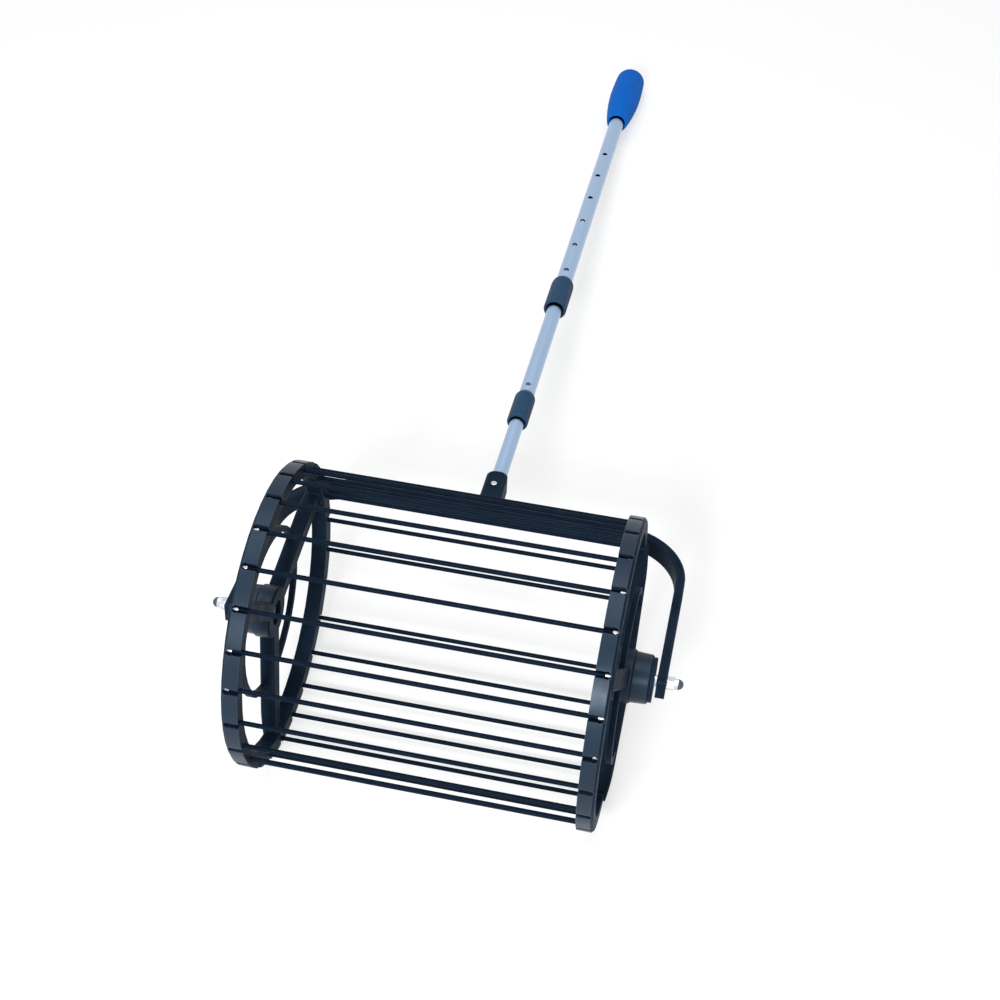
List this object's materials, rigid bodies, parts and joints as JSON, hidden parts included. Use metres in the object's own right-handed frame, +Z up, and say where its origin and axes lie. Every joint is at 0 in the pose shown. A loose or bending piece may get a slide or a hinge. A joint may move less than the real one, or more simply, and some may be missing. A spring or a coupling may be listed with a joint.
{
  "type": "ball collector",
  "caption": "Rolling ball collector: barrel of sprung wires between spoked end discs, turning in a U-shaped yoke on a telescopic pole with foam grip",
  "frame": {"origin": "bottom centre of the bounding box, on the floor that the drum's rims and the grip rest on", "axes": "+X along the drum's axle, +Y from the drum towards the grip, +Z up"},
  "size_m": [0.4062, 1.1982, 0.2634],
  "materials": {
    "black_plastic": "satin",
    "grey_plastic": "fine grain",
    "coated_wire": "satin",
    "satin_aluminium": "satin anodised",
    "bright_steel": "bright plated",
    "dark_steel": "blackened",
    "foam": "fine closed-cell foam"
  },
  "bodies": {
    "handle_frame": {"yoke": "black_plastic", "right_axle_bolt": "bright_steel", "left_axle_bolt": "bright_steel", "right_inner_washer": "bright_steel", "left_inner_washer": "bright_steel", "right_axle_sleeve": "bright_steel", "left_axle_sleeve": "bright_steel", "right_outer_washer": "black_plastic", "left_outer_washer": "black_plastic", "right_dome_nut": "bright_steel", "left_dome_nut": "bright_steel", "socket_screw": "bright_steel", "socket_nut": "bright_steel", "lower_tube": "satin_aluminium", "middle_tube": "satin_aluminium", "lock_pin": "dark_steel", "lower_collar": "grey_plastic", "button_spring": "bright_steel"},
    "drum": {"right_end_disc": "black_plastic", "left_end_disc": "black_plastic", "wire_01": "coated_wire", "wire_02": "coated_wire", "wire_03": "coated_wire", "wire_04": "coated_wire", "wire_05": "coated_wire", "wire_06": "coated_wire", "wire_07": "coated_wire", "wire_08": "coated_wire", "wire_09": "coated_wire", "wire_10": "coated_wire", "wire_11": "coated_wire", "wire_12": "coated_wire", "wire_13": "coated_wire", "wire_14": "coated_wire", "wire_15": "coated_wire", "wire_16": "coated_wire", "wire_17": "coated_wire", "wire_18": "coated_wire", "wire_19": "coated_wire", "wire_20": "coated_wire", "wire_21": "coated_wire", "wire_22": "coated_wire", "wire_23": "coated_wire", "wire_24": "coated_wire"},
    "upper_pole": {"upper_tube": "satin_aluminium", "upper_collar": "grey_plastic", "grip": "foam", "tube_end_plug": "black_plastic"},
    "snap_button": {"snap_button": "bright_steel"}
  },
  "joints": [
    {"name": "drum_spin", "type": "hinge", "parent": "handle_frame", "child": "drum", "pos_m": [0, -0.46739, 0.13171], "axis": [1, 0, 0], "continuous": true},
    {"name": "pole_slide", "type": "slide", "parent": "handle_frame", "child": "upper_pole", "axis": [0, 0.9942, -0.1076], "range_m": [-0.1596, 0.1064]},
    {"name": "button_travel", "type": "slide", "parent": "handle_frame", "child": "snap_button", "axis": [0, 0.1076, 0.9942], "range_m": [0, 0.003], "stiffness_N_per_m": 400, "springref_m": 0.003}
  ]
}
